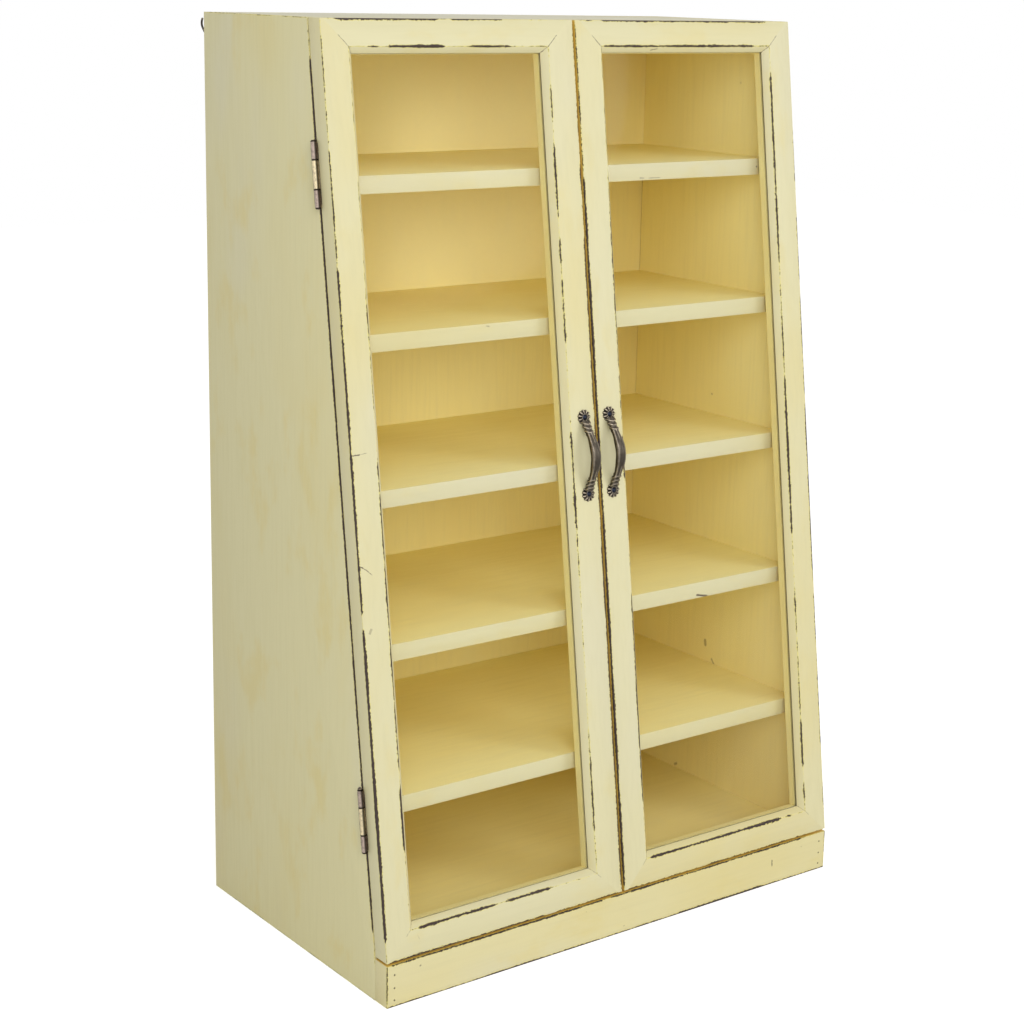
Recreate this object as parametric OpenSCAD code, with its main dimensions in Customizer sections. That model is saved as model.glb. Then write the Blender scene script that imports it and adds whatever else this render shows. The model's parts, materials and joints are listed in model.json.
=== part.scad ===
// Slant-fronted display cabinet with two glazed doors, five fixed shelves and a plinth.
// X runs across the front, Y from the front to the back, Z up; the floor is z = 0.

/* [Case] */
// Width across the two side panels
case_w = 600; // [520:1:760]
// Depth at the floor, plinth front to back
base_d = 350; // [320:1:420]
// Depth at the top, door front to back
top_d = 226; // [200:1:260]
// Height of the side panels
case_h = 955; // [900:1:1050]
// Thickness of the side, top and bottom boards
board_t = 18; // [16:0.5:22]
// Height of the plinth board
plinth_h = 45; // [40:1:60]
// Thickness of the plinth board
plinth_t = 22; // [18:0.5:24]
// How far the bottom board stands above the plinth
bottom_lip = 3; // [1:0.5:8]
// Thickness of the back panel
back_t = 6; // [4:0.5:9]
// How far the back panel is let into each side panel
back_lap = 9; // [6:0.5:12]

/* [Shelves] */
// Thickness of a shelf
shelf_t = 18; // [15:0.5:20]
// Height of the lowest shelf's top
first_shelf = 199; // [170:1:210]
// Space between the highest shelf and the top board
top_space = 130.8; // [110:0.1:160]
// Space between a shelf's front edge and the doors
shelf_gap = 2.5; // [1:0.1:10]

/* [Doors] */
// Thickness of the door frames
door_t = 21; // [19:0.5:24]
// Gap between the doors and the case edge behind them
seam = 1.5; // [1.2:0.1:2.4]
// Gap between the two doors
meeting_gap = 3; // [2:0.1:5]
// Gap between the doors and the plinth
foot_gap = 2.5; // [1:0.1:4]
// Width of the hinge stiles
hinge_stile_w = 36; // [32:0.5:50]
// Width of the meeting stiles
meeting_stile_w = 38.5; // [34:0.5:50]
// Width of the top rails, on the sloping face
top_rail_w = 32.5; // [28:0.5:50]
// Width of the bottom rails, on the sloping face
bottom_rail_w = 33.5; // [28:0.5:50]
// Width of the moulded bevel round the glass
bevel_w = 6; // [4:0.5:9]
// Depth of the moulded bevel
bevel_d = 7; // [4:0.5:8]
// Thickness of the lip in front of the glass
lip_t = 1.5; // [1:0.1:3]
// Width of the rebate that holds the glass
rebate_w = 6; // [4:0.5:8]
// Thickness of the glass
glass_t = 2; // [2:0.5:3]
// Space round the glass in its rebate
glass_play = 0.8; // [0.3:0.1:1.5]
// Rounding of the glazing beads at the back
bead_round = 3; // [1:0.5:4]

/* [Hinges] */
// Length of a butt hinge
hinge_len = 63.5; // [50:0.5:76]
// Distance of a hinge's middle from the end of the door
hinge_inset = 144; // [100:1:180]
// Width of a hinge leaf from the pin's middle
leaf_reach = 17.5; // [16:0.5:18]
// Thickness of a hinge leaf
leaf_t = 1.2; // [1:0.1:1.5]
// Space between the leaves of a closed hinge
leaf_gap = 0.2; // [0.1:0.1:0.4]
// Radius of the hinge barrel
barrel_r = 2.9; // [2.6:0.1:3.4]
// Space between the barrel and the outside of the case
barrel_clear = 0.1; // [0.1:0.05:0.5]
// Share of the barrel held by the middle knuckle
middle_share = 0.44; // [0.34:0.02:0.5]
// Space between two knuckles
knuckle_gap = 0.15; // [0.1:0.05:0.3]
// Radius of the hinge pin
pin_r = 1.5; // [1.2:0.1:1.8]
// Running clearance of the pin, on the radius
pin_play = 0.05; // [0.03:0.01:0.1]
// Radius of the pin's heads
pin_head_r = 2.2; // [1.9:0.1:2.6]
// Height of the pin's heads
pin_head_h = 0.9; // [0.5:0.1:1.5]

/* [Pulls] */
// Distance between a pull's two screws
pull_centres = 80; // [64:1:96]
// Height of a pull's middle above the foot of the slope
pull_rise = 473.5; // [350:0.5:560]
// Distance of the pulls from the line between the doors
pull_side = 16.5; // [13:0.5:22]
// How far the bow stands off the door
pull_reach = 17; // [14:0.5:22]
// Radius of a rosette over its lobes
rosette_r = 7.2; // [6:0.1:8.5]
// Thickness of a rosette
rosette_t = 2.6; // [2:0.1:3.5]
// Lobes round a rosette
rosette_lobes = 11; // [8:1:14]
// Half width of the bow at its middle
bow_middle_w = 4.4; // [3.5:0.1:5.5]
// Half width of the bow at its slimmest
bow_neck_w = 3; // [2.4:0.1:3.4]
// Half width of the bow where it leaves a rosette
bow_root_w = 4.6; // [3.5:0.1:5.5]
// Half thickness of the bow
bow_half_t = 2.8; // [2:0.1:3.2]

/* [Fixings] */
// Shank radius of the hinge screws
screw_r = 1.5; // [1.2:0.1:1.8]
// Head radius of the hinge screws
screw_head_r = 2.9; // [2.5:0.1:3.2]
// Length of the hinge screws
screw_len = 13; // [10:0.5:16]
// Shank radius of the pull screws
pull_screw_r = 1.6; // [1.4:0.1:1.8]
// Head radius of the pull screws
pull_head_r = 2.9; // [2.5:0.1:3.2]
// Shank radius of the nails in the boards
nail_r = 1; // [0.8:0.1:1.3]
// Head radius of the nails in the boards
nail_head_r = 1.5; // [1.3:0.1:2.2]
// Length of the nails in the boards
nail_len = 40; // [36:1:50]
// Shank radius of the pins in the back panel
tack_r = 0.7; // [0.5:0.1:0.9]
// Head radius of the pins in the back panel
tack_head_r = 1.6; // [1.2:0.1:2]
// Length of the pins in the back panel
tack_len = 20; // [16:1:25]
// Clearance of every fixing in its hole, on the radius
hole_play = 0.05; // [0.02:0.01:0.1]

/* [Hanging loops] */
// Radius of the loops' wire
wire_r = 1.1; // [0.9:0.1:1.4]
// Straight length of a loop's upper leg outside the case
loop_straight = 6.4; // [5:0.1:9]
// Radius of a loop's bend, at the middle of the wire
loop_bend_r = 6.5; // [5:0.1:8]
// Angle that a loop turns through
loop_turn = 135; // [130:1:150]
// Depth that the upper leg is driven in
loop_driven = 14; // [10:1:18]
// Depth of the upper leg below the top of the case
loop_drop = 5; // [4:0.5:12]

/* [Hidden] */

$fn = 32;

cream = [0.87, 0.85, 0.69];
shelf_tan = [0.80, 0.73, 0.52];
old_brass = [0.42, 0.34, 0.22];
pewter = [0.24, 0.22, 0.20];
steel = [0.55, 0.55, 0.52];
clear_glass = [0.85, 0.92, 0.90, 0.3];

// How far a cutting tool runs past the faces that it cuts
past = 1;
half_w = case_w / 2;
inner_w = case_w - 2 * board_t;

// The loops reach behind the case, and the origin lies midway between them and the plinth front
loop_reach = loop_straight + loop_bend_r + wire_r;
back_y = (base_d - loop_reach) / 2;
front_y = back_y - base_d;
boards_back_y = back_y - back_t;

// The doors lean back by this angle from the top of the plinth upwards
lean = atan((base_d - top_d) / (case_h - plinth_h));
face_len = (case_h - plinth_h) / cos(lean);
door_foot = foot_gap / cos(lean);
hinge_y = door_t + seam / 2;
barrel_out = barrel_r + barrel_clear;

// Y of the plane that lies at the given depth behind the door face, at a height
function slope_y(z, depth) = front_y + (z - plinth_h) * tan(lean) + depth / cos(lean);

seam_depth = door_t + seam;
bottom_top_z = plinth_h + bottom_lip;
bottom_z = bottom_top_z - board_t;
plinth_back_y = front_y + plinth_t;

// Sight size of the left door's glass, measured on the leaning face
sight_x0 = -half_w + hinge_stile_w;
sight_x1 = -meeting_gap / 2 - meeting_stile_w;
sight_z0 = door_foot + bottom_rail_w;
sight_z1 = face_len - top_rail_w;
mitre_reach = 70;

glass_y = bevel_d + lip_t;
bead_y = glass_y + glass_t;
bead_play = 0.1;

hinge_heights = [hinge_inset, face_len - hinge_inset];
hinge_names = ["lower", "upper"];
knuckle_half = hinge_len * middle_share / 2;
leaf_screw_spots = [[10.5, -22], [12.5, 0], [10.5, 22]];
screw_cone_h = screw_head_r - screw_r;
screw_slot_w = 0.7;
screw_slot_d = 0.5;

nail_head_h = 1.2;
nail_setback = 50;
plinth_nail_z = [7, 20, 34];
tack_head_h = 0.6;
tack_rows = 5;
tack_columns = 3;
loop_x = half_w - back_lap / 2;
loop_top_z = case_h - loop_drop;

// The shelves between the lowest and the highest are spaced evenly
shelf_count = 5;
last_shelf = case_h - board_t - top_space;
shelf_pitch = (last_shelf - first_shelf) / (shelf_count - 1);

function shelf_top(i) = first_shelf + (i - 1) * shelf_pitch;
function shelf_front(i) = slope_y(shelf_top(i), door_t) + shelf_gap;

// Every board held by nails through the side panels: height of its middle, and its front edge
nailed_boards = concat(
    [[bottom_z + board_t / 2, plinth_back_y]],
    [for (i = [1 : shelf_count]) [shelf_top(i) - shelf_t / 2, shelf_front(i)]],
    [[case_h - board_t / 2, slope_y(case_h, seam_depth)]]
);

// Puts children on the leaning door plane: x across, y into the case, z up the slope
module leaning() {
    translate([0, front_y, plinth_h]) rotate([-lean, 0, 0]) children();
}

// Draws children on the left and, mirrored, on the right
module both_sides() {
    children();
    mirror([1, 0, 0]) children();
}

// A profile in the Y-Z plane, drawn out along X
module side_profile(points, width, start) {
    translate([start, 0, 0]) rotate([90, 0, 90]) linear_extrude(width) polygon(points);
}

// A nail along +Z with its head's top at z = 0, point downwards
module nail(shank, head, head_h, length, play) {
    rotate_extrude() polygon([
        [0, play], [head + play, play], [head + play, -head_h], [shank + play, -head_h],
        [shank + play, -length + 2 * shank], [0, -length - play]
    ]);
}

module board_nail(play) { nail(nail_r, nail_head_r, nail_head_h, nail_len, play); }

module tack(play) { nail(tack_r, tack_head_r, tack_head_h, tack_len, play); }

// A countersunk wood screw along -Z with its head's face at z = 0
module leaf_screw(play) {
    rotate_extrude() polygon([
        [0, play], [screw_head_r + play, play], [screw_head_r + play, 0],
        [screw_r + play, -screw_cone_h], [screw_r + play, -screw_len + 2 * screw_r],
        [0, -screw_len - play]
    ]);
}

// The nails of the left side panel, driven in from outside
module side_nails(play) {
    for (board = nailed_boards)
        for (y = [board[1] + nail_setback, boards_back_y - nail_setback])
            translate([-half_w, y, board[0]]) rotate([0, -90, 0]) board_nail(play);
}

// The nails of the plinth's left end, driven in from the front
module front_nails(play) {
    for (z = plinth_nail_z)
        translate([-half_w + board_t / 2, front_y, z]) rotate([90, 0, 0]) board_nail(play);
}

// The pins of the back panel: a row up each side, and rows along the top and the bottom
module back_tacks(play) {
    x_side = half_w - board_t + back_lap / 2;
    z_low = bottom_z + board_t / 2;
    z_high = case_h - board_t / 2;
    for (i = [0 : tack_rows - 1])
        for (x = [-x_side, x_side])
            tack_at(x, z_low + (i + 0.5) * (z_high - z_low) / tack_rows, play);
    for (i = [1 : tack_columns])
        for (z = [z_low, z_high])
            tack_at(-half_w + i * case_w / (tack_columns + 1), z, play);
}

module tack_at(x, z, play) {
    translate([x, back_y, z]) rotate([-90, 0, 0]) tack(play);
}

// The wire of the left hanging loop: a driven leg, a bend, and a slanting leg back into the wood
module loop_wire(play) {
    r = wire_r + play;
    lower_out = (loop_straight + loop_bend_r * sin(loop_turn)) / -cos(loop_turn);
    translate([-loop_x, back_y, loop_top_z]) {
        translate([0, -loop_driven, 0]) rotate([-90, 0, 0]) cylinder(r = r, h = loop_driven + loop_straight);
        translate([0, loop_straight, -loop_bend_r]) rotate([90 - loop_turn, 0, 0]) rotate([0, -90, 0])
            rotate_extrude(angle = loop_turn) translate([loop_bend_r, 0]) circle(r = r);
        translate([0, loop_straight, -loop_bend_r]) rotate([-loop_turn, 0, 0])
            translate([0, 0, loop_bend_r]) rotate([-90, 0, 0]) cylinder(r = r, h = lower_out + loop_driven / 2);
    }
}

// One side panel, with its rebate, hinge recesses and fixing holes
module side_panel() {
    difference() {
        side_profile([
            [back_y, 0], [plinth_back_y, 0], [plinth_back_y, plinth_h],
            [slope_y(plinth_h, seam_depth), plinth_h], [slope_y(case_h, seam_depth), case_h],
            [back_y, case_h]
        ], board_t, -half_w);
        translate([-half_w + board_t - back_lap, boards_back_y, bottom_z])
            cube([back_lap + past, back_t + past, case_h]);
        leaf_recess(1);
        for (z = hinge_heights) at_hinge(z) leaf_screws(1, hole_play);
        side_nails(hole_play);
        front_nails(hole_play);
        back_tacks(hole_play);
        loop_wire(hole_play);
    }
}

// A board that runs between the side panels
module board(points) {
    difference() {
        side_profile(points, inner_w, -inner_w / 2);
        both_sides() side_nails(hole_play);
        back_tacks(hole_play);
    }
}

module case_top() {
    low = case_h - board_t;
    board([
        [boards_back_y, low], [slope_y(low, seam_depth), low], [slope_y(case_h, seam_depth), case_h],
        [boards_back_y, case_h]
    ]);
}

module case_bottom() {
    board([
        [boards_back_y, bottom_z], [plinth_back_y, bottom_z], [plinth_back_y, bottom_top_z],
        [boards_back_y, bottom_top_z]
    ]);
}

module shelf(i) {
    top = shelf_top(i);
    front = shelf_front(i);
    board([[boards_back_y, top - shelf_t], [front, top - shelf_t], [front, top], [boards_back_y, top]]);
}

module case_back() {
    width = inner_w + 2 * back_lap;
    difference() {
        translate([-width / 2, boards_back_y, bottom_z]) cube([width, back_t, case_h - bottom_z]);
        back_tacks(hole_play);
    }
}

module plinth_board() {
    difference() {
        translate([-half_w, front_y, 0]) cube([case_w, plinth_t, plinth_h]);
        both_sides() front_nails(hole_play);
    }
}

// The frame section: x outwards from the edge of the glass opening, y back from the face
function frame_section(width) = [
    [0, bevel_d], [bevel_w, 0], [width, 0], [width, door_t], [rebate_w, door_t], [rebate_w, glass_y], [0, glass_y]
];

bead_section = concat(
    [[0, bead_y], [rebate_w, bead_y], [rebate_w, door_t]],
    [for (a = [0 : 15 : 90]) [bead_round - bead_round * sin(a), door_t - bead_round + bead_round * cos(a)]]
);

// A stick along z, its outer side towards -x
module upright_stick(section) {
    translate([sight_x0, 0, sight_z0 - mitre_reach])
        linear_extrude(sight_z1 - sight_z0 + 2 * mitre_reach)
            polygon([for (p = section) [-p[0], p[1]]]);
}

// The same stick on the meeting side, its outer side towards +x
module meeting_stick(section) {
    translate([sight_x0 + sight_x1, 0, 0]) mirror([1, 0, 0]) upright_stick(section);
}

// A stick along x, its outer side upwards
module level_stick(section) {
    translate([sight_x0 - mitre_reach, 0, sight_z1]) rotate([0, 90, 0])
        linear_extrude(sight_x1 - sight_x0 + 2 * mitre_reach)
            polygon([for (p = section) [-p[0], p[1]]]);
}

module foot_stick(section) {
    translate([0, 0, sight_z0 + sight_z1]) mirror([0, 0, 1]) level_stick(section);
}

// The space between the door's level ends, which are cut parallel with the floor
module between_ends() {
    rise = tan(lean);
    side_profile([
        [-past, door_foot - past * rise], [door_t + past, door_foot + (door_t + past) * rise],
        [door_t + past, face_len + (door_t + past) * rise], [-past, face_len - past * rise]
    ], case_w + 2 * past, -half_w - past);
}

// The space between two mitres, given by its four corners on the face
module between_mitres(corners) {
    translate([0, door_t + past, 0]) rotate([90, 0, 0]) linear_extrude(door_t + 2 * past) polygon(corners);
}

module hinge_side_mitres(play = 0) {
    low = sight_z0 + play;
    high = sight_z1 - play;
    between_mitres([
        [sight_x0, low], [sight_x0, high],
        [sight_x0 - mitre_reach, high + mitre_reach], [sight_x0 - mitre_reach, low - mitre_reach]
    ]);
}

module meeting_side_mitres(play = 0) {
    translate([sight_x0 + sight_x1, 0, 0]) mirror([1, 0, 0]) hinge_side_mitres(play);
}

module top_mitres(play = 0) {
    start = sight_x0 + play;
    end = sight_x1 - play;
    between_mitres([
        [start, sight_z1], [end, sight_z1],
        [end + mitre_reach, sight_z1 + mitre_reach], [start - mitre_reach, sight_z1 + mitre_reach]
    ]);
}

module foot_mitres(play = 0) {
    translate([0, 0, sight_z0 + sight_z1]) mirror([0, 0, 1]) top_mitres(play);
}

// The nails through the corners of the left door, from its two edges
module corner_nails(play) {
    for (z = [door_foot + bottom_rail_w / 3, face_len - top_rail_w / 3])
        translate([0, door_t / 2, z]) {
            translate([-half_w, 0, 0]) rotate([0, -90, 0]) board_nail(play);
            translate([-meeting_gap / 2, 0, 0]) rotate([0, 90, 0]) board_nail(play);
        }
}

module hinge_stile() {
    leaning() difference() {
        intersection() {
            upright_stick(frame_section(hinge_stile_w));
            hinge_side_mitres();
            between_ends();
        }
        corner_nails(hole_play);
        door_leaf_cuts();
    }
}

module meeting_stile() {
    leaning() difference() {
        intersection() {
            meeting_stick(frame_section(meeting_stile_w));
            meeting_side_mitres();
            between_ends();
        }
        corner_nails(hole_play);
        pull_screw_pair(hole_play);
    }
}

module top_rail() {
    leaning() difference() {
        intersection() {
            level_stick(frame_section(mitre_reach));
            top_mitres();
            between_ends();
            door_width();
        }
        corner_nails(hole_play);
    }
}

module bottom_rail() {
    leaning() difference() {
        intersection() {
            foot_stick(frame_section(mitre_reach));
            foot_mitres();
            between_ends();
            door_width();
        }
        corner_nails(hole_play);
    }
}

// The width of the left door, which trims the rails' ends
module door_width() {
    translate([-half_w, -past, -past]) cube([half_w - meeting_gap / 2, door_t + 2 * past, face_len + door_t]);
}

module door_glass() {
    edge = rebate_w - glass_play;
    leaning() translate([sight_x0 - edge, glass_y, sight_z0 - edge])
        cube([sight_x1 - sight_x0 + 2 * edge, glass_t, sight_z1 - sight_z0 + 2 * edge]);
}

module door_beads() {
    leaning() {
        intersection() {
            upright_stick(bead_section);
            hinge_side_mitres(bead_play);
        }
        intersection() {
            meeting_stick(bead_section);
            meeting_side_mitres(bead_play);
        }
        intersection() {
            level_stick(bead_section);
            top_mitres(bead_play);
        }
        intersection() {
            foot_stick(bead_section);
            foot_mitres(bead_play);
        }
    }
}

// Puts children on the left hinge line at a height: x towards the case, y inwards, z along the pin
module at_hinge(z) {
    leaning() translate([-half_w - barrel_out, hinge_y, z]) children();
}

// Screws of one leaf; side is 1 for the case leaf and -1 for the door leaf
module leaf_screws(side, play) {
    for (spot = leaf_screw_spots)
        translate([spot[0], side * leaf_gap / 2, spot[1] * hinge_len / 63.5])
            rotate([side * 90, 0, 0]) leaf_screw(play);
}

// A slot across each screw head
module screw_slots(side) {
    for (spot = leaf_screw_spots)
        translate([spot[0], side * leaf_gap / 2, spot[1] * hinge_len / 63.5]) rotate([0, spot[1] * 3 + 20, 0])
            cube([2 * screw_head_r + past, 2 * screw_slot_d, screw_slot_w], center = true);
}

// The shallow recesses that the leaves lie in
module leaf_recess(side) {
    for (z = hinge_heights)
        at_hinge(z) translate([0, side > 0 ? -past : -leaf_t - leaf_gap / 2, -hinge_len / 2])
            cube([leaf_reach, leaf_t + leaf_gap / 2 + past, hinge_len]);
}

module door_leaf_cuts() {
    for (z = hinge_heights)
        translate([-half_w - barrel_out, hinge_y, z]) {
            translate([0, -leaf_t - leaf_gap / 2, -hinge_len / 2])
                cube([leaf_reach, leaf_t + leaf_gap / 2 + past, hinge_len]);
            leaf_screws(-1, hole_play);
        }
}

// One knuckle with the strip that joins it to its leaf
module knuckle(side, z0, z1) {
    translate([0, 0, z0]) cylinder(r = barrel_r, h = z1 - z0);
    translate([0, side > 0 ? leaf_gap / 2 : -leaf_t - leaf_gap / 2, z0])
        cube([leaf_reach / 2, leaf_t, z1 - z0]);
}

module leaf_plate(side) {
    translate([barrel_out + barrel_clear, side > 0 ? leaf_gap / 2 : -leaf_t - leaf_gap / 2, -hinge_len / 2])
        cube([leaf_reach - barrel_out - barrel_clear, leaf_t, hinge_len]);
}

module hinge_leaf(side) {
    difference() {
        union() {
            leaf_plate(side);
            if (side > 0) {
                knuckle(side, -hinge_len / 2, -knuckle_half);
                knuckle(side, knuckle_half, hinge_len / 2);
            } else {
                knuckle(side, -knuckle_half + knuckle_gap, knuckle_half - knuckle_gap);
            }
        }
        translate([0, 0, -hinge_len]) cylinder(r = pin_r + pin_play, h = 2 * hinge_len);
        leaf_screws(side, hole_play);
    }
}

module hinge_pin() {
    cylinder(r = pin_r, h = hinge_len, center = true);
    for (s = [-1, 1])
        translate([0, 0, s * (hinge_len + pin_head_h) / 2]) cylinder(r = pin_head_r, h = pin_head_h, center = true);
}

module slotted_screws(side) {
    for (z = hinge_heights)
        at_hinge(z) difference() {
            leaf_screws(side, 0);
            screw_slots(side);
        }
}

// The pulls' screws: a domed head over a shank driven into the stile
module pull_screw_pair(play) {
    for (s = [-1, 1])
        translate([-pull_side, 0, pull_rise + s * pull_centres / 2]) rotate([90, 0, 0]) {
            translate([0, 0, -15]) cylinder(r = pull_screw_r + play, h = 15 + rosette_t);
        }
}

module pull_screw_heads() {
    head_h = 1.6;
    ball_r = (pull_head_r * pull_head_r + head_h * head_h) / (2 * head_h);
    for (s = [-1, 1])
        translate([-pull_side, -rosette_floor(), pull_rise + s * pull_centres / 2]) rotate([90, 0, 0])
            intersection() {
                translate([0, 0, head_h - ball_r]) sphere(r = ball_r);
                cylinder(r = pull_head_r, h = head_h);
            }
}

function rosette_floor() = rosette_t - 0.9;

// A scalloped rosette with a dished middle, standing on z = 0
module rosette() {
    lobe_r = rosette_r * 0.27;
    difference() {
        union() {
            linear_extrude(rosette_t * 0.6) rosette_outline(rosette_r, lobe_r);
            linear_extrude(rosette_t) rosette_outline(rosette_r * 0.84, lobe_r * 0.8);
        }
        translate([0, 0, rosette_floor()]) cylinder(r = pull_head_r + 0.4, h = rosette_t);
        translate([0, 0, -past]) cylinder(r = pull_screw_r + hole_play, h = rosette_t + 2 * past);
    }
}

module rosette_outline(outer_r, lobe_r) {
    circle(r = outer_r - lobe_r);
    for (i = [0 : rosette_lobes - 1])
        rotate(i * 360 / rosette_lobes) translate([outer_r - lobe_r, 0]) circle(r = lobe_r);
}

// The bow between the rosettes, as rings along its length; t runs from -1 to 1
bow_rings = 26;
bow_sides = 12;
bow_half_len = pull_centres / 2 - pull_head_r - 0.8;

function bow_height(t) = bow_half_t * 0.9 + (pull_reach - bow_half_t * 0.9) * pow(0.5 + 0.5 * cos(180 * t), 0.7);

function bow_width(t) = abs(t) < 0.6
    ? bow_neck_w + (bow_middle_w - bow_neck_w) * (0.5 + 0.5 * cos(300 * t))
    : bow_neck_w + (bow_root_w - bow_neck_w) * (0.5 - 0.5 * cos(450 * (abs(t) - 0.6)));

function bow_ring(t) =
    let (
        z = t * bow_half_len,
        dt = 0.01,
        dz = 2 * dt * bow_half_len,
        dh = bow_height(min(t + dt, 1)) - bow_height(max(t - dt, -1)),
        tilt = atan(dh / dz) * 0.8
    )
    [for (k = [0 : bow_sides - 1])
        let (a = k * 360 / bow_sides, u = bow_width(t) * cos(a), v = bow_half_t * sin(a))
        [u, -(bow_height(t) + v * cos(tilt)), z - v * sin(tilt)]
    ];

module bow() {
    points = [for (i = [0 : bow_rings]) each bow_ring(-1 + 2 * i / bow_rings)];
    sides = [
        for (i = [0 : bow_rings - 1])
            for (k = [0 : bow_sides - 1])
                let (
                    a = i * bow_sides + k,
                    b = i * bow_sides + (k + 1) % bow_sides
                )
                each [[a, b, a + bow_sides], [b, b + bow_sides, a + bow_sides]]
    ];
    caps = [
        [for (k = [bow_sides - 1 : -1 : 0]) k],
        [for (k = [0 : bow_sides - 1]) bow_rings * bow_sides + k]
    ];
    polyhedron(points = points, faces = concat(sides, caps));
}

module door_pull() {
    leaning() translate([-pull_side, 0, pull_rise]) {
        for (s = [-1, 1])
            translate([0, 0, s * pull_centres / 2]) rotate([90, 0, 0]) rosette();
        bow();
    }
}

// The named pieces of the case
module left_side_panel() { color(cream) side_panel(); }

module right_side_panel() { color(cream) mirror([1, 0, 0]) side_panel(); }

module top_panel() { color(cream) case_top(); }

module bottom_panel() { color(shelf_tan) case_bottom(); }

module back_panel() { color(shelf_tan) case_back(); }

module plinth() { color(cream) plinth_board(); }

module board_nails() { color(steel) both_sides() side_nails(0); }

module plinth_nails() { color(steel) both_sides() front_nails(0); }

module back_panel_pins() { color(steel) back_tacks(0); }

module hanging_loop() { color(old_brass) loop_wire(0); }

// Draws a left-hand piece, or its mirror image on the right
module handed(side) {
    if (side == "left") children();
    else mirror([1, 0, 0]) children();
}

left_side_panel();
right_side_panel();
top_panel();
bottom_panel();
back_panel();
plinth();
for (i = [1 : shelf_count])
    color(shelf_tan) shelf(i);
board_nails();
plinth_nails();
back_panel_pins();
for (side = ["left", "right"]) handed(side) {
    hanging_loop();
    for (i = [0 : 1]) {
        color(old_brass) at_hinge(hinge_heights[i]) hinge_leaf(1);
        color(old_brass) at_hinge(hinge_heights[i]) hinge_pin();
        color(old_brass) at_hinge(hinge_heights[i]) hinge_leaf(-1);
    }
    color(old_brass) slotted_screws(1);
    color(cream) hinge_stile();
    color(cream) meeting_stile();
    color(cream) top_rail();
    color(cream) bottom_rail();
    color(clear_glass) door_glass();
    color(cream) door_beads();
    color(pewter) door_pull();
    color(pewter) pull_screws();
    color(old_brass) slotted_screws(-1);
    color(steel) leaning() corner_nails(0);
}

module pull_screws() {
    leaning() {
        pull_screw_pair(0);
        pull_screw_heads();
    }
}
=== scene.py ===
"""A slant-fronted display cabinet: painted case, five shelves, two glazed doors and cast bow pulls."""

import json
import math

import bpy
from mathutils import Matrix, Vector


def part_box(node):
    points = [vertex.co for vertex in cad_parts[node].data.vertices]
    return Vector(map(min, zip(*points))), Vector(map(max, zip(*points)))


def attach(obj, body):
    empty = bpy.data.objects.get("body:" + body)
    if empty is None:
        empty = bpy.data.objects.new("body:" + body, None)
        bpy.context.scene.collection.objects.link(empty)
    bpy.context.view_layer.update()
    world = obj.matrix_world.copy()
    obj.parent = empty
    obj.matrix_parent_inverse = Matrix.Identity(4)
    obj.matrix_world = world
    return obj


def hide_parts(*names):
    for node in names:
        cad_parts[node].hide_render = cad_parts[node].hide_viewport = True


bl_info = {
    "name": "Glazed display cabinet",
    "version": (1, 0, 0),
    "blender": (4, 5, 0),
    "location": "View3D > Sidebar > Cabinet",
    "description": "Builds a painted display cabinet with worn edges round its packed frame",
    "category": "Object",
}

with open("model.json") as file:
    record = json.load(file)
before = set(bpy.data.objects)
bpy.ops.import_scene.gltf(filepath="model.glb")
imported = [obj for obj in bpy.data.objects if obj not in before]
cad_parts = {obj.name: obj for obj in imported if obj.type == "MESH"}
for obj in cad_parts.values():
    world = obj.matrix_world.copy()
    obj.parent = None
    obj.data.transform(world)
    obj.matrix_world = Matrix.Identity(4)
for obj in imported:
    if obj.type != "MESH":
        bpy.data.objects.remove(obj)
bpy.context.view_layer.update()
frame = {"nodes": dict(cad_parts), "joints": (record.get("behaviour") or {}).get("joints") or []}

MM = 0.001
SIDES = ("left", "right")
SHELVES = range(1, 6)

# Places that the frame gives
side_low, side_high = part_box("left_side_panel")
plinth_low, plinth_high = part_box("plinth")
HALF_W = -side_low.x
BOARD_T = side_high.x - side_low.x
CASE_H = side_high.z
BACK_Y = side_high.y
FRONT_Y = plinth_low.y
PLINTH_H = plinth_high.z
PLINTH_T = plinth_high.y - plinth_low.y
HINGE_AXIS = next(Vector(joint["axis"]) for joint in frame["joints"] if joint["child"] == "right_door")
LEAN = math.atan2(HINGE_AXIS.y, HINGE_AXIS.z)
FOOT = Vector((0, FRONT_Y, PLINTH_H))
UP_SLOPE = Vector((0, math.sin(LEAN), math.cos(LEAN)))
INTO_CASE = Vector((0, math.cos(LEAN), -math.sin(LEAN)))
FACE_LEN = (CASE_H - PLINTH_H) / math.cos(LEAN)
LEANING = Matrix.Translation(FOOT) @ Matrix.Rotation(-LEAN, 4, "X")

# Sizes of the door frames, the pulls and the hinges. The castings of the pulls are a little fuller than
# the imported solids.
DOOR_T = 21 * MM
SEAM = 1.5 * MM
MEETING_GAP = 3 * MM
FOOT_GAP = 2.5 * MM
DOOR_FOOT = FOOT_GAP / math.cos(LEAN)
HINGE_STILE_W = 36 * MM
MEETING_STILE_W = 38.5 * MM
TOP_RAIL_W = 32.5 * MM
BOTTOM_RAIL_W = 33.5 * MM
BEVEL_W = 6 * MM
BEVEL_D = 7 * MM
LIP_T = 1.5 * MM
REBATE_W = 6 * MM
SIGHT = (
    -HALF_W + HINGE_STILE_W,
    -MEETING_GAP / 2 - MEETING_STILE_W,
    DOOR_FOOT + BOTTOM_RAIL_W,
    FACE_LEN - TOP_RAIL_W,
)
PULL_SIDE = 16.5 * MM
PULL_RISE = 473.5 * MM
PULL_CENTRES = 80 * MM
PULL_REACH = 17 * MM
ROSETTE_R = 8.1 * MM
ROSETTE_T = 2.8 * MM
PETALS = 11
BOW_HALF_T = 3.2 * MM
BOW_HALF_LEN = 36.3 * MM
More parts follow.
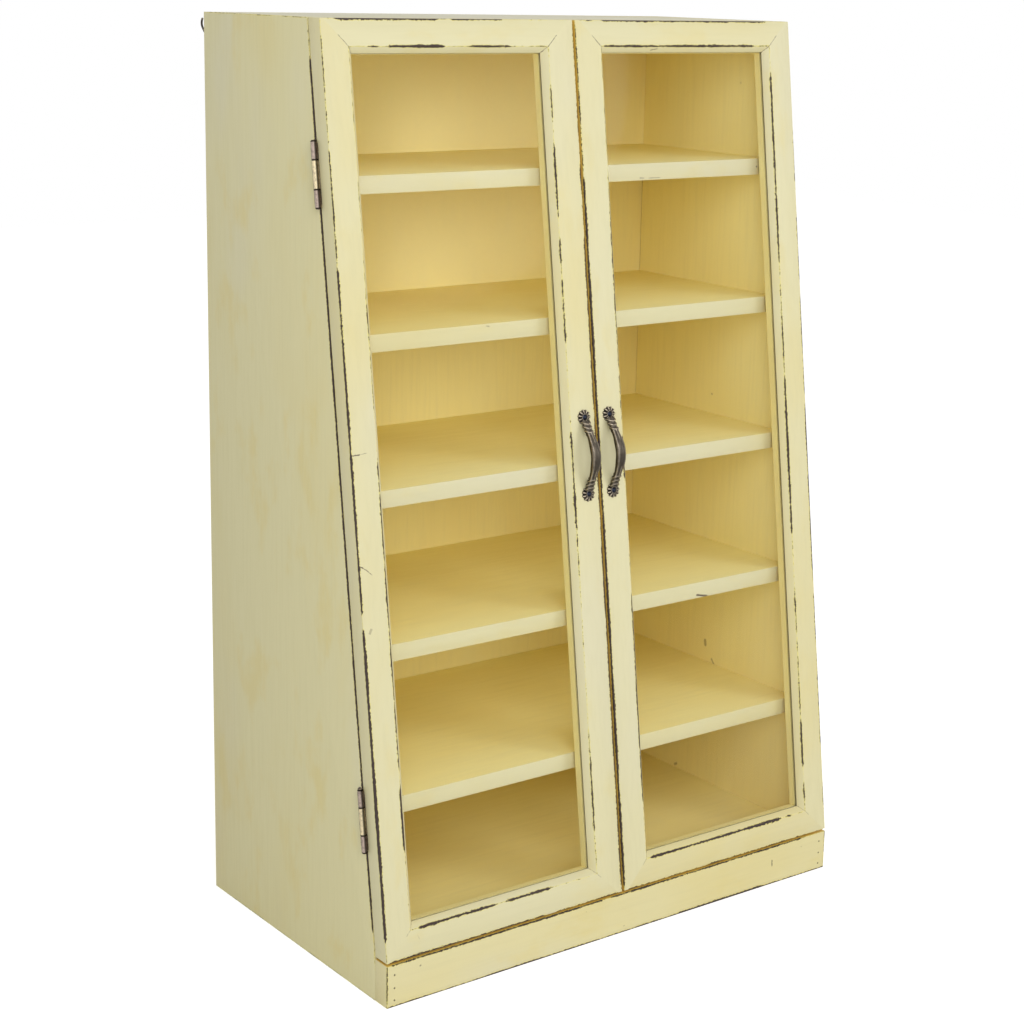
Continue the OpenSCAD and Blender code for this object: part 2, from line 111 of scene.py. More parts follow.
BOW_HALF_WIDTHS = (5.7 * MM, 3.6 * MM, 4.3 * MM)
BOW_RIBS = 7
LEAF_LEN = 4.4 * MM
HINGE_HALF = 31.75 * MM
KNUCKLE_HALF = 14 * MM
HINGE_SETBACK = 144 * MM
HINGE_HEIGHTS = (HINGE_SETBACK, FACE_LEN - HINGE_SETBACK)
NAIL_HEAD_R = 1.5 * MM
SUNK_NAIL_R = 1 * MM
NAIL_SETBACK = 50 * MM
PLINTH_NAIL_Z = (7 * MM, 20 * MM, 34 * MM)
BACK_LAP = 9 * MM
BACK_T = 6 * MM

# Stretches where the paint is rubbed through: start, end (mm) and how strongly. Those of upright edges are
# measured up the slope, those of level door edges across from the middle of the cabinet.
WORN = {
    ("left", "hinge_stile"): {
        "glass": ((110, 176, 1.0), (190, 500, 0.75), (548, 650, 0.6)),
        "outer": ((24, 340, 1.15), (350, 686, 0.9), (692, 797, 0.7), (800, 905, 0.62)),
    },
    ("left", "meeting_stile"): {
        "glass": ((76, 153, 0.8), (381, 392, 0.6), (398, 501, 0.75), (592, 657, 0.8), (672, 700, 0.8),
                  (716, 794, 0.7), (816, 856, 0.75)),
        "outer": ((4, 700, 0.95), (702, 738, 0.6), (740, 775, 1.0), (780, 915, 0.65)),
    },
    ("left", "top_rail"): {
        "glass": ((-249, -237, 0.6), (-228, -160, 0.85), (-132, -80, 0.85)),
        "outer": ((-285, -166, 1.0), (-154, -88, 0.85), (-70, -60, 0.5)),
    },
    ("left", "bottom_rail"): {
        "glass": ((-261, -164, 0.9), (-153, -93, 0.9)),
        "outer": ((-298, -100, 0.95), (-96, -4, 0.75)),
    },
    ("right", "hinge_stile"): {
        "glass": ((42, 64, 0.7), (81, 138, 0.8), (148, 231, 0.55), (238, 280, 0.6), (350, 528, 0.85),
                  (544, 633, 0.6), (654, 862, 0.8)),
        "outer": ((29, 60, 0.7), (100, 210, 0.8), (215, 281, 0.9), (288, 497, 1.0), (504, 618, 0.85),
                  (632, 706, 0.75), (740, 800, 0.6)),
    },
    ("right", "meeting_stile"): {
        "glass": ((93, 321, 0.8), (340, 370, 0.45), (442, 490, 1.0), (500, 554, 0.55), (560, 764, 0.65),
                  (782, 834, 0.55)),
        "outer": ((4, 760, 1.0), (762, 915, 0.65)),
    },
    ("right", "top_rail"): {
        "glass": ((-248, -34, 0.85),),
        "outer": ((-268, -34, 0.85), (-26, -14, 0.5)),
    },
    ("right", "bottom_rail"): {
        "glass": ((-250, -240, 0.8), (-234, -40, 1.0)),
        "outer": ((-264, -120, 0.7), (-110, -4, 0.6)),
    },
    "plinth top": ((-298, -26, 0.85), (-18, 264, 0.8)),
    "plinth foot": ((-300, -290, 1.1), (-180, -40, 1.0), (14, 57, 1.0), (78, 206, 1.25), (214, 231, 1.0)),
    "side foot": ((-182, -176, 0.7), (-88, -68, 0.6), (-58, -28, 0.7), (31, 44, 0.6), (66, 76, 0.5)),
    "side top": ((-4, 12, 0.5), (28, 44, 0.55), (54, 62, 0.5)),
    "side gap": ((30, 885, 1.0),),
}
WEAR_FADE = 5  # millimetres over which a stretch begins and ends
UNWORN = 0.42  # strength below which the paint is whole


class CabinetPaint(bpy.types.PropertyGroup):
    """The cabinet's colours and its wear"""

    cream: bpy.props.FloatVectorProperty(
        name="Cream", description="Milk paint on the case and the doors",
        subtype="COLOR", size=3, default=(0.72, 0.67, 0.41))
    cream_warm: bpy.props.FloatVectorProperty(
        name="Warm cream", description="Paint where it has yellowed",
        subtype="COLOR", size=3, default=(0.72, 0.62, 0.28))
    cream_pale: bpy.props.FloatVectorProperty(
        name="Pale cream", description="Paint where it is faded and dusty",
        subtype="COLOR", size=3, default=(0.70, 0.66, 0.46))
    inside: bpy.props.FloatVectorProperty(
        name="Inside", description="Thin ochre paint on the lining and on the shelves' tops",
        subtype="COLOR", size=3, default=(0.915, 0.822, 0.385))
    yellow: bpy.props.FloatVectorProperty(
        name="Yellow coat", description="Older coat that shows beside the worn edges",
        subtype="COLOR", size=3, default=(0.80, 0.70, 0.16))
    ochre: bpy.props.FloatVectorProperty(
        name="Ochre", description="Ochre on the edges where the doors meet",
        subtype="COLOR", size=3, default=(0.66, 0.44, 0.08))
    undercoat: bpy.props.FloatVectorProperty(
        name="Undercoat", description="Dark coat that shows where the edges are rubbed through",
        subtype="COLOR", size=3, default=(0.054, 0.036, 0.030))
    wear: bpy.props.FloatProperty(
        name="Wear", description="Width of the rubbed edges",
        subtype="DISTANCE", unit="LENGTH", default=1.9 * MM, min=0, max=5 * MM)


class CabinetSizes(bpy.types.PropertyGroup):
    """Small sizes of the finish"""

    easing: bpy.props.FloatProperty(
        name="Eased edges", description="Rounding of the sawn edges",
        subtype="DISTANCE", unit="LENGTH", default=0.7 * MM, min=0.1 * MM, max=3 * MM)
    key: bpy.props.FloatProperty(
        name="Key lamp", description="Power of the lamp at the front right",
        subtype="POWER", unit="POWER", default=20, min=0, max=200)
    fill: bpy.props.FloatProperty(
        name="Fill lamp", description="Power of the wide lamp at the front left",
        subtype="POWER", unit="POWER", default=40, min=0, max=200)
    sky: bpy.props.FloatProperty(
        name="Sky", description="Strength of the even light from all round", default=0.62, min=0, max=2)


def paint():
    return bpy.context.scene.cabinet_paint


def sizes():
    return bpy.context.scene.cabinet_sizes


# Modelling helpers


def deselect():
    if bpy.context.mode != "OBJECT":
        bpy.ops.object.mode_set(mode="OBJECT")
    bpy.ops.object.select_all(action="DESELECT")


def only(obj):
    deselect()
    obj.select_set(True)
    bpy.context.view_layer.objects.active = obj
    return obj


def settle(obj, matrix=None):
    """Puts the object's place into its mesh."""
    if matrix is not None:
        obj.matrix_world = matrix @ obj.matrix_world
    only(obj)
    bpy.ops.object.transform_apply(location=True, rotation=True, scale=True)
    return obj


def block(name, low, high):
    """A box between two corners."""
    deselect()
    low, high = Vector(low), Vector(high)
    bpy.ops.mesh.primitive_cube_add(size=1, location=(low + high) / 2)
    obj = bpy.context.object
    obj.name = name
    obj.scale = high - low
    return settle(obj)


def trim(obj, point, normal):
    """Cuts away what lies beyond a plane and closes the cut."""
    only(obj)
    bpy.ops.object.mode_set(mode="EDIT")
    bpy.ops.mesh.select_all(action="SELECT")
    bpy.ops.mesh.bisect(plane_co=point, plane_no=normal, use_fill=True, clear_outer=True)
    bpy.ops.object.mode_set(mode="OBJECT")
    return obj


def close_up(obj, fill=False):
    """Points all faces outwards, after merging doubles and closing the ends where fill is set."""
    only(obj)
    bpy.ops.object.mode_set(mode="EDIT")
    bpy.ops.mesh.select_all(action="SELECT")
    if fill:
        bpy.ops.mesh.remove_doubles(threshold=0.01 * MM)
        bpy.ops.mesh.fill_holes(sides=0)
        bpy.ops.mesh.select_all(action="SELECT")
    bpy.ops.mesh.normals_make_consistent(inside=False)
    bpy.ops.object.mode_set(mode="OBJECT")
    return obj


def stick(name, section, length):
    """A moulding along z from an outline of (x, y) points."""
    deselect()
    bpy.ops.mesh.primitive_circle_add(vertices=len(section), fill_type="NGON")
    obj = bpy.context.object
    obj.name = name
    for vertex, (x, y) in zip(obj.data.vertices, section):
        vertex.co = (x, y, 0)
    bpy.ops.object.mode_set(mode="EDIT")
    bpy.ops.mesh.select_all(action="SELECT")
    bpy.ops.mesh.extrude_region_move(TRANSFORM_OT_translate={"value": (0, 0, length)})
    return close_up(obj)


def modify(obj, kind, **settings):
    """Adds a modifier, sets it and applies it."""
    only(obj)
    modifier = obj.modifiers.new(kind.title(), kind)
    for key, value in settings.items():
        setattr(modifier, key, value)
    bpy.ops.object.modifier_apply(modifier=modifier.name)
    return obj


def cut_out(obj, tool):
    """Takes the tool's shape out of a piece and removes the tool."""
    modify(obj, "BOOLEAN", object=tool, operation="DIFFERENCE", solver="EXACT")
    bpy.data.objects.remove(tool)
    return obj


def smooth(obj, degrees=35):
    only(obj)
    bpy.ops.object.shade_smooth_by_angle(angle=math.radians(degrees))
    return obj


def ease(obj, width=None):
    """Rounds the sharp edges a little, as sanding does."""
    modify(
        obj, "BEVEL", width=width or sizes().easing, segments=2, limit_method="ANGLE",
        angle_limit=math.radians(30))
    return smooth(obj)


def join(name, parts):
    deselect()
    for part in parts:
        part.select_set(True)
    bpy.context.view_layer.objects.active = parts[0]
    bpy.ops.object.join()
    obj = bpy.context.object
    obj.name = name
    return obj


def dress(obj, material, body, slot, *nodes):
    """Gives a finished piece its material and its body, and hides the nodes that it stands for."""
    obj.data.materials.clear()
    obj.data.materials.append(material)
    if nodes:
        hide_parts(*nodes)
    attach(obj, body)
    return obj


def coat(node, material):
    """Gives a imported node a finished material."""
    mesh = frame["nodes"][node].data
    mesh.materials.clear()
    mesh.materials.append(material)


# Material helpers


def tinted(colour, *shares):
    """A colour with its parts multiplied by a share each, or all by one."""
    shares = shares if len(shares) == 3 else 3 * shares
    return tuple(part * share for part, share in zip(colour, shares))


class Nodes:
    """The nodes of a material or a world, written as sums."""

    def __init__(self, owner):
        owner.use_nodes = True
        self.tree = owner.node_tree

    def add(self, kind, sources=None, **settings):
        """A node with its settings, and with what goes into its inputs."""
        node = self.tree.nodes.new(kind)
        for key, value in settings.items():
            setattr(node, key, value)
        self.feed(node, sources or {})
        return node

    def feed(self, node, sources):
        for key, source in sources.items():
            self.link(source, node.inputs[key])

    def link(self, source, socket):
        """Links a socket, or sets the value where the source is a plain number or colour."""
        if isinstance(source, bpy.types.NodeSocket):
            self.tree.links.new(source, socket)
        elif hasattr(source, "__len__") and len(source) == 3 and socket.type == "RGBA":
            socket.default_value = (*source, 1)
        else:
            socket.default_value = source

    def math(self, operation, *values):
        return self.add("ShaderNodeMath", dict(enumerate(values)), operation=operation).outputs[0]

    def plus(self, first, second):
        return self.math("ADD", first, second)

    def less(self, first, second):
        return self.math("SUBTRACT", first, second)

    def times(self, first, second):
        return self.math("MULTIPLY", first, second)

    def absolute(self, value):
        return self.math("ABSOLUTE", value)

    def vector(self, operation, *values, output="Vector"):
        node = self.add("ShaderNodeVectorMath", dict(enumerate(values)), operation=operation)
        return node.outputs[output]

    def most(self, values):
        result = values[0]
        for value in values[1:]:
            result = self.math("MAXIMUM", result, value)
        return result

    def beyond(self, value, limit):
        """1 where a value is greater than a limit, else 0."""
        return self.math("GREATER_THAN", value, limit)


class Recipe(Nodes):
    """A material, its patterns measured in the cabinet's own coordinates."""

    def __init__(self, name):
        self.material = bpy.data.materials.new(name)
        super().__init__(self.material)
        self.shader = self.tree.nodes["Principled BSDF"]
        self.place = self.add("ShaderNodeTexCoord").outputs["Object"]
        self.x, self.y, self.z = self.add("ShaderNodeSeparateXYZ", {0: self.place}).outputs

    def finish(self, sources):
        """Feeds the shader and gives the finished material."""
        self.feed(self.shader, sources)
        return self.material

    def surface(self, shader):
        """Makes another shader the material's surface."""
        output = next(node for node in self.tree.nodes if node.type == "OUTPUT_MATERIAL")
        self.link(shader.outputs[0], output.inputs["Surface"])
        return self.material

    def plane(self, normal, offset):
        """Signed distance of a point from a plane."""
        return self.less(self.vector("DOT_PRODUCT", self.place, normal, output="Value"), offset)

    def edge(self, first, second):
        """Distance from the line where two planes meet."""
        return self.math("SQRT", self.plus(self.times(first, first), self.times(second, second)))

    def stretches(self, along, low, high, spans, rest):
        """Strength of the wear along an edge, from stretches in millimetres, and between them at rest."""
        sources = {"Value": along, "From Min": low * MM, "From Max": high * MM}
        share = self.add("ShaderNodeMapRange", sources)
        ramp = self.add("ShaderNodeValToRGB", {"Fac": share.outputs[0]})
        stops = ramp.color_ramp.elements
        stops[0].color = stops[1].color = (rest, rest, rest, 1)
        for start, end, strength in spans:
            inner = min(WEAR_FADE, (end - start) / 2.5)
            levels = ((start - 1, rest), (start + inner, strength), (end - inner, strength), (end + 1, rest))
            for place, level in levels:
                stop = stops.new(min(max((place - low) / (high - low), 0), 1))
                stop.color = (level, level, level, 1)
        return ramp.outputs["Color"]

    def scratch(self, across, up, start, end):
        """Distance from a short line on a face, in the face's own two coordinates."""
        span = Vector((end[0] - start[0], end[1] - start[1], 0)) * MM
        here = self.add("ShaderNodeCombineXYZ", {0: across, 1: up})
        away = self.vector("SUBTRACT", here.outputs[0], Vector((*start, 0)) * MM)
        share = self.vector("DOT_PRODUCT", away, span / span.length_squared, output="Value")
        share = self.math("MINIMUM", self.math("MAXIMUM", share, 0), 1)
        nearest = self.add("ShaderNodeVectorMath", {0: span, "Scale": share}, operation="SCALE")
        return self.vector("LENGTH", self.vector("SUBTRACT", away, nearest.outputs[0]), output="Value")

    def noise(self, scale, stretch=(1, 1, 1), detail=2, rough=0.5, shift=0):
        """A noise field, its scale in features a metre."""
        mapping = self.add("ShaderNodeMapping", {
            "Vector": self.place, "Scale": stretch, "Location": (shift, 2 * shift, 3 * shift)})
        node = self.add("ShaderNodeTexNoise", {
            "Vector": mapping.outputs[0], "Scale": scale, "Detail": detail, "Roughness": rough})
        return node.outputs["Fac"]

    def sway(self, field, reach):
        """A noise field made to lie round zero."""
        return self.times(self.less(field, 0.5), reach)

    def fade(self, value, low, high, start=0, end=1):
        """A value taken smoothly from one range to another."""
        return self.add("ShaderNodeMapRange", {
            "Value": value, "From Min": low, "From Max": high, "To Min": start, "To Max": end,
        }, interpolation_type="SMOOTHSTEP").outputs[0]

    def mix(self, share, first, second):
        return self.add("ShaderNodeMix", {0: share, 6: first, 7: second}, data_type="RGBA").outputs[2]

    def bump(self, height, strength, distance):
        return self.add("ShaderNodeBump", {
            "Height": height, "Strength": strength, "Distance": distance}).outputs[0]


def along_grain(grain, share):
    """Stretches a pattern along x, y or z, which are 0, 1 and 2."""
    stretch = [1.0, 1.0, 1.0]
    stretch[grain] = share
    return stretch


def painted(name, grain, lines=None, lined=None, marks=None, tone=None, dim=None, ochred=None,
            shift=0.0, blotted=0.4):
    """Milk paint on wood: brush marks along the grain, yellowing, rubbed edges, cracks and knots.

    lines gives pairs of the distance from an edge that wears and the strength of its wear. lined gives a
    share of the surface that has the lining's ochre paint. marks gives the distances from the middle of
    small dark marks, less their half width. dim gives a share of the surface that is darkened, and
    ochred a share that shows bare ochre.
    """
    colours = paint()
    recipe = Recipe(name)
    base = tone or tuple(colours.cream)
    clouds = recipe.noise(4.5, along_grain(grain, 0.45), detail=4, rough=0.55, shift=shift)
    washed = recipe.noise(7, along_grain(grain, 0.35), detail=3, rough=0.5, shift=shift + 9)
    brush = recipe.noise(260, along_grain(grain, 0.05), detail=3, rough=0.6, shift=shift)
    specks = recipe.noise(700, detail=1, shift=shift)
    blots = recipe.noise(22, along_grain(grain, 0.5), detail=4, rough=0.6, shift=shift + 15)
    colour = recipe.mix(recipe.fade(clouds, 0.45, 0.70, 0, 0.7), base, colours.cream_warm)
    colour = recipe.mix(recipe.fade(washed, 0.50, 0.70, 0, 0.6), colour, colours.cream_pale)
    colour = recipe.mix(recipe.fade(blots, 0.52, 0.70, 0, blotted), colour, colours.cream_warm)
    if lined is not None:
        stained, faded = tinted(colours.inside, 0.95, 0.87, 0.70), tinted(colours.inside, 0.98, 1.03, 1.25)
        lining = recipe.mix(recipe.fade(clouds, 0.40, 0.70, 0, 0.45), colours.inside, stained)
        lining = recipe.mix(recipe.fade(washed, 0.50, 0.75, 0, 0.35), lining, faded)
        colour = recipe.mix(lined(recipe), colour, lining)
    if ochred is not None:
        colour = recipe.mix(ochred(recipe), colour, colours.ochre)
    colour = recipe.mix(recipe.fade(brush, 0.38, 0.78, 0, 0.13), colour, tinted(base, 0.8))
    colour = recipe.mix(recipe.fade(specks, 0.70, 0.80, 0, 0.12), colour, colours.yellow)
    rough = recipe.fade(brush, 0.3, 0.7, 0.46, 0.58)
    height = recipe.times(brush, 0.25)
    if lines is not None:
        patches = recipe.noise(28, shift=shift + 3)
        ragged = recipe.noise(560, along_grain(grain, 0.5), detail=4, rough=0.75, shift=shift + 5)
        chips = recipe.noise(1500, along_grain(grain, 0.6), rough=0.6, shift=shift + 7)
        jitter = recipe.sway(ragged, 4.6 * MM)
        for field, reach in ((patches, 2.4 * MM), (chips, 2.0 * MM)):
            jitter = recipe.plus(jitter, recipe.sway(field, reach))
        signed = []
        for distance, strength in lines(recipe):
            width = recipe.times(recipe.less(strength, UNWORN), 1.5 * colours.wear)
            signed.append(recipe.less(width, distance))
        worn = recipe.plus(recipe.most(signed), jitter)
        bare = recipe.fade(worn, -0.12 * MM, 0.12 * MM)
        halo = recipe.fade(worn, -1.1 * MM, -0.15 * MM, 0, 0.6)
        colour = recipe.mix(halo, colour, colours.yellow)
        colour = recipe.mix(bare, colour, colours.undercoat)
        rough = recipe.plus(rough, recipe.times(bare, 0.2))
        height = recipe.less(height, bare)
    if dim is not None:
        colour = recipe.mix(dim(recipe), colour, tinted(colours.undercoat, 1.6))
    if marks is not None:
        fine = recipe.noise(600, shift=shift + 11)
        for distance, strength in marks(recipe):
            distance = recipe.plus(distance, recipe.sway(fine, 1.6 * MM))
            dark = recipe.fade(distance, -0.15 * MM, 0.45 * MM, strength, 0)
            colour = recipe.mix(dark, colour, tinted(colours.undercoat, 1.7))
    return recipe.finish({
        "Base Color": colour, "Roughness": rough, "Normal": recipe.bump(height, 0.35, 0.35 * MM),
        "Specular IOR Level": 0.35})


def up_front(recipe):
    """Distance up the leaning front."""
    return recipe.plane(UP_SLOPE, FOOT.dot(UP_SLOPE))


def behind_face(recipe, depth=0):
    """Distance behind the doors' face, less a depth."""
    return recipe.plane(INTO_CASE, FOOT.dot(INTO_CASE) + depth)


def door_place(recipe, side):
    """Coordinates on a door: across, up the slope and behind the face. Across is below 0 on both doors."""
    return recipe.times(recipe.x, 1 if side == "left" else -1), up_front(recipe), behind_face(recipe)


def cracks(recipe, across, up, marks, shown):
    """Small dark marks: their distances, less half their widths, and what shown gives for their
    strengths. Each mark has two ends, a half width and a strength."""
    pairs = []
    for x0, z0, x1, z1, half, strength in marks:
        away = recipe.scratch(across, up, (x0, z0), (x1, z1))
        pairs.append((recipe.less(away, half * MM), shown(strength)))
    return pairs


# For each stick of a door frame: its sight edge, its outer edge, and the way from the first to the second
STICKS = {
    "hinge_stile": (SIGHT[0], -HALF_W, -1),
    "meeting_stile": (SIGHT[1], -MEETING_GAP / 2, 1),
    "top_rail": (SIGHT[3], FACE_LEN, 1),
    "bottom_rail": (SIGHT[2], DOOR_FOOT, -1),
}

# Small dark marks, in millimetres: two ends, each across and up the face, half the width, and a strength.
# Those of the doors run across from the middle and up the slope.
DOOR_MARKS = {
    ("left", "hinge_stile"): (
        (-298, 506.5, -290, 506.5, 0.35, 0.9), (-290, 506.5, -281.5, 507.4, 0.1, 0.6),
        (-298, 399, -292, 395, 0.3, 0.9), (-292, 395, -285.5, 389.2, 0.2, 0.8),
        (-292.3, 333, -291, 336, 1.3, 0.35),
    ),
    ("left", "bottom_rail"): ((-262, 23, -260.5, 19, 0.1, 0.4),),
    ("right", "top_rail"): ((-112, 889.5, -104, 888.5, 0.2, 0.9),),
}

# Inside the side panels: y and z
SIDE_MARKS = (
    (-5.4, 885.9, -5.2, 886.2, 0.5, 0.8), (22, 525, 22.3, 525.3, 0.6, 0.9),
    (16.5, 224, 15.8, 219, 2.0, 0.5), (4, 204, -1, 198, 1.0, 0.5), (60, 53, 63, 51, 1.4, 0.45),
    (161.5, 650, 161.5, 785, 0.2, 0.6), (161.5, 505, 161.5, 630, 0.1, 0.5),
)

# On the plinth: x and z
PLINTH_MARKS = (
    (217.5, 29, 217.8, 22, 0.5, 0.9), (262.4, 34.4, 262.6, 34.6, 0.3, 0.5),
    (-261, 35.6, -260, 35.8, 0.5, 0.6), (-50.8, 37.2, -50, 37.4, 0.3, 0.5),
    (2, 7, 2.4, 7.2, 0.3, 0.5), (133, -1.5, 162, -1.5, 1.6, 0.9),
)

# On the shelves' front edges: x and the distance below the shelf's top
SHELF_CHIPS = {
    2: ((146.6, 14.2, 161, 17.5, 0.9, 0.9),),
    4: ((-115, 2.4, -112, 3.0, 0.4, 0.5),),
    5: ((97.6, 15.3, 103, 15.5, 0.3, 0.8), (110, 15.8, 125, 15.9, 0.2, 0.6),
        (265.4, 9, 265.6, 9.2, 0.6, 0.9)),
}

# The painted shade beside a hinge, standing in for the shadow round its knuckles: from the seam to its
# middle, half its length and half its width
HINGE_SHADE_SETBACK = 4 * MM
HINGE_SHADE_HALF = HINGE_HALF - 5.5 * MM
HINGE_SHADE_R = 6.8 * MM


def on_face(recipe, depth, strength):
    """A mark's strength, for the front of a board only."""
    return recipe.fade(depth, BEVEL_D + 0.5 * MM, BEVEL_D + MM, strength, 0)


def hinge_painted_shade(recipe, up, depth):
    """Painted shade round the hinges' knuckles, on the outside only."""
    outside = recipe.beyond(recipe.absolute(recipe.x), HALF_W - 0.4 * MM)
    middle = (DOOR_T + SEAM / 2 + HINGE_SHADE_SETBACK) / MM
    pairs = []
    for height in HINGE_HEIGHTS:
        ends = [(middle, (height + way * HINGE_SHADE_HALF) / MM) for way in (-1, 1)]
        away = recipe.less(recipe.scratch(depth, up, *ends), HINGE_SHADE_R)
        pairs.append((away, recipe.times(outside, 0.9)))
    return pairs


def door_finish(side, member, number):
    """Paint for one stick of a door frame."""
    upright = "stile" in member
    sight, outer, way = STICKS[member]
    low, high = (0, FACE_LEN / MM) if upright else (-HALF_W / MM, 0)

    def lines(recipe):
        across, up, depth = door_place(recipe, side)
        along, over = (up, across) if upright else (across, up)
        rim = recipe.less(over, outer)
        pairs = [
            (recipe.edge(face, depth), recipe.stretches(along, low, high, WORN[side, member][key], 0.37))
            for face, key in ((recipe.less(over, sight + way * BEVEL_W), "glass"), (rim, "outer"))]
        if member == "hinge_stile":
            pairs.append((recipe.edge(rim, recipe.less(depth, DOOR_T)), 0.55))
        return pairs

    def dim(recipe):
        """A dark line on the lip's edge, against the glass."""
        across, up, depth = door_place(recipe, side)
        outwards = recipe.times(recipe.less(across if upright else up, sight), way)
        lip = recipe.fade(depth, BEVEL_D, BEVEL_D + 0.3 * MM)
        return recipe.times(recipe.fade(outwards, 0.1 * MM, 0.4 * MM, 0.95, 0), lip)

    def marks(recipe):
        """The open mitres, the painted shade beside the hinges and the marks of this stick."""
        across, up, depth = door_place(recipe, side)
        spots = []
        for end in {"top_rail": (1,), "bottom_rail": (-1,)}.get(member, (-1, 1)):
            level, length, strength = (SIGHT[3], 11 * MM, 0.9) if end > 0 else (SIGHT[2], 5 * MM, 0.45)
            reach = BEVEL_W + length
            for corner in {"hinge_stile": (0,), "meeting_stile": (1,)}.get(member, (0, 1)):
                edge, out = SIGHT[corner], (-1, 1)[corner]
                ends = (edge, level, edge + out * reach, level + end * reach)
                spots.append((*(place / MM for place in ends), 0.1, strength))
        spots += DOOR_MARKS.get((side, member), ())
        # Painted shade round the hinge's knuckles, on the hinge stile only
        hinge_shade = hinge_painted_shade(recipe, up, depth) if member == "hinge_stile" else []
        return hinge_shade + cracks(recipe, across, up, spots, lambda strength: on_face(recipe, depth, strength))

    def lined(recipe):
        return recipe.fade(behind_face(recipe), DOOR_T - 0.3 * MM, DOOR_T - 0.1 * MM)

    def ochred(recipe):
        """Ochre on the edges where the two doors meet and on the doors' feet."""
        across = door_place(recipe, side)[0]
        foot = recipe.less(recipe.z, PLINTH_H + FOOT_GAP)
        meeting = recipe.fade(across, -MEETING_GAP / 2 - 0.15 * MM, -MEETING_GAP / 2 - 0.05 * MM)
        return recipe.math("MAXIMUM", meeting, recipe.fade(foot, 0.05 * MM, 0.15 * MM, 1, 0))

    name = f"cream {side} {member.replace('_', ' ')}"
    return painted(
        name, 2 if upright else 0, lines, lined, marks, dim=dim, ochred=ochred, shift=11.0 + 1.7 * number)


def side_finish():
    """Paint for the side panels: cream outside, ochre inside, worn at the foot, the top and the doors."""
    ends = (FRONT_Y / MM, BACK_Y / MM)

    def outer(recipe):
        return recipe.less(recipe.absolute(recipe.x), HALF_W)

    def lines(recipe):
        face = outer(recipe)
        gap = recipe.stretches(up_front(recipe), 0, FACE_LEN / MM, WORN["side gap"], 0.36)
        foot = recipe.stretches(recipe.y, *ends, WORN["side foot"], 0.55)
        top = recipe.stretches(recipe.y, *ends, WORN["side top"], 0.4)
        return [
            (recipe.edge(face, behind_face(recipe, DOOR_T + SEAM)), gap),
            (recipe.edge(face, recipe.z), foot),
            (recipe.edge(face, recipe.less(recipe.z, CASE_H)), top),
            (recipe.edge(face, recipe.less(recipe.y, BACK_Y)), 0.25),
        ]

    def lined(recipe):
        return recipe.fade(outer(recipe), -BOARD_T + 0.2 * MM, -BOARD_T + 0.6 * MM, 1, 0)

    def marks(recipe):
        inner = recipe.beyond(0, recipe.plus(outer(recipe), BOARD_T / 2))
        # Painted shade round the hinges' knuckles, on the outside of the panels
        hinge_shade = hinge_painted_shade(recipe, up_front(recipe), behind_face(recipe))
        return hinge_shade + cracks(
            recipe, recipe.y, recipe.z, SIDE_MARKS, lambda strength: recipe.times(inner, strength))

    return painted("cream side", 2, lines, lined, marks, tone=(0.73, 0.675, 0.385), blotted=0.75)


def plinth_finish():
    """Paint for the plinth, yellower than the rest and worn along both edges."""

    def lines(recipe):
        face = recipe.less(recipe.y, FRONT_Y)
        ends = recipe.less(recipe.absolute(recipe.x), HALF_W)
        top = recipe.less(recipe.z, PLINTH_H)
        width = (-300, 300)
        return [
            (recipe.edge(face, top), recipe.stretches(recipe.x, *width, WORN["plinth top"], 0.36)),
            (recipe.edge(face, recipe.z), recipe.stretches(recipe.x, *width, WORN["plinth foot"], 0.9)),
            (recipe.edge(face, ends), 0.72),
            (recipe.edge(ends, recipe.z), 0.4),
        ]

    def marks(recipe):
        return cracks(recipe, recipe.x, recipe.z, PLINTH_MARKS, lambda strength: strength)

    def ochred(recipe):
        return recipe.fade(recipe.z, PLINTH_H - 0.3 * MM, PLINTH_H - 0.1 * MM)

    return painted(
        "cream plinth", 0, lines, None, marks, (0.735, 0.665, 0.37), ochred=ochred, shift=2.0, blotted=0.6)


def shelf_finish(number, low, high):
    """Paint for a shelf: ochre, with a cream front edge."""
    top, under, front = high.z, low.z, low.y

    def lines(recipe):
        face = recipe.less(recipe.y, front)
        return [
            (recipe.edge(face, recipe.less(recipe.z, top)), 0.1),
            (recipe.edge(face, recipe.less(recipe.z, under)), 0.22),
        ]

    def lined(recipe):
        return recipe.fade(recipe.y, front + 0.3 * MM, front + 0.8 * MM)

    def marks(recipe):
        chips = [
            (x0, top / MM - z0, x1, top / MM - z1, half, strength)
            for x0, z0, x1, z1, half, strength in SHELF_CHIPS.get(number, ())]
        return cracks(recipe, recipe.x, recipe.z, chips, lambda strength: recipe.fade(
            recipe.y, front + 0.5 * MM, front + 2 * MM, strength, 0))

    return painted(f"shelf paint {number}", 0, lines, lined, marks, shift=7.0 * number)


def everywhere(recipe):
    """The whole surface."""
    return 1.0


def metal(name, dark, bright, roughness, high=None):
    """Aged metal, dark in the hollows. Without high it is rubbed bright on the high places; high(recipe)
    gives the bright share instead, which on the hinges and the pulls holds painted highlights.
    """
    recipe = Recipe(name)
    patina = recipe.noise(400, detail=4, rough=0.65)
    if high is None:
        geometry = recipe.add("ShaderNodeNewGeometry")
        rubbed = recipe.fade(geometry.outputs["Pointiness"], 0.49, 0.58)
    else:
        rubbed = high(recipe)
    share = recipe.times(rubbed, recipe.fade(patina, 0.30, 0.60, 0.55, 1.0))
    return recipe.finish({
        "Base Color": recipe.mix(share, dark, bright), "Metallic": 1,
        "Roughness": recipe.fade(patina, 0.3, 0.7, roughness, roughness + 0.2),
        "Normal": recipe.bump(patina, 0.3, 0.2 * MM)})


def cast_wear_and_highlights(recipe):
    """How far each place of a cast pull stands up and is rubbed bright, with the painted highlights along
    its bow.
    """
    return recipe.add("ShaderNodeAttribute", attribute_name="rubbed").outputs["Fac"]


